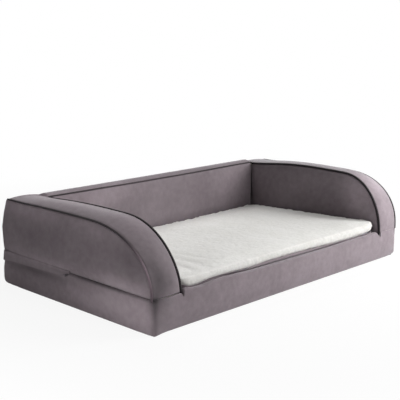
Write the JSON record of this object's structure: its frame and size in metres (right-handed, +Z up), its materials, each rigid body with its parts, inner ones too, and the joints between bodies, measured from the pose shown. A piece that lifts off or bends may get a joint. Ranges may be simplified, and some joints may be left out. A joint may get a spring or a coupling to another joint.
{
  "type": "dog sofa bed",
  "caption": "Large dog sofa bed with a box base, rounded arms, a thin back, dark piping, a zipped cover and a loose sherpa-topped mattress.",
  "frame": {"origin": "centre of the underside, on the floor", "axes": "+X along the length to the right arm, +Y from the open front to the back, +Z up"},
  "size_m": [1.22, 0.593, 0.26],
  "materials": {
    "velvet": "satin",
    "piping": "matte",
    "sherpa": "matte",
    "lining": "matte",
    "foam": "matte",
    "soft_foam": "matte",
    "zip_tape": "matte",
    "zip_teeth": "satin",
    "zip_metal": "satin"
  },
  "bodies": {
    "sofa": {"base_slab_foam": "foam", "left_arm_foam": "foam", "right_arm_foam": "foam", "back_foam": "foam", "lip_foam": "foam", "underside_panel": "lining", "deck_panel": "lining", "lip_lining": "velvet", "lip_roll": "velvet", "front_border": "velvet", "left_border": "velvet", "right_border": "velvet", "back_border": "velvet", "left_arm_outer_panel": "velvet", "right_arm_outer_panel": "velvet", "left_arm_inner_panel": "velvet", "right_arm_inner_panel": "velvet", "left_arm_band": "velvet", "right_arm_band": "velvet", "back_inner_panel": "velvet", "back_outer_panel": "velvet", "back_top_band": "velvet", "left_outer_piping": "piping", "left_inner_piping": "piping", "right_outer_piping": "piping", "right_inner_piping": "piping", "back_piping": "piping", "zip_tape_lower": "zip_tape", "zip_tape_upper": "zip_tape", "zip_row_lower": "zip_teeth", "zip_row_upper": "zip_teeth", "zip_stops": "zip_metal", "zip_flap": "velvet"},
    "mattress": {"mattress_underside": "lining", "mattress_support_foam": "foam", "mattress_comfort_foam": "soft_foam", "mattress_border": "velvet", "mattress_sherpa_top": "sherpa"},
    "zip_slider": {"zip_slider": "zip_metal"},
    "zip_pull": {"zip_pull": "zip_metal"}
  },
  "joints": [
    {"name": "mattress_lift", "type": "slide", "parent": "sofa", "child": "mattress", "axis": [0, 0, 1], "range_m": [0, 0.25]},
    {"name": "zip_slide", "type": "slide", "parent": "sofa", "child": "zip_slider", "axis": [0, 1, 0], "range_m": [0, 0.232]},
    {"name": "zip_pull_swing", "type": "hinge", "parent": "zip_slider", "child": "zip_pull", "pos_m": [-0.6026, 0.0368, 0.094], "axis": [1, 0, 0], "range_deg": [-85, 85]}
  ]
}
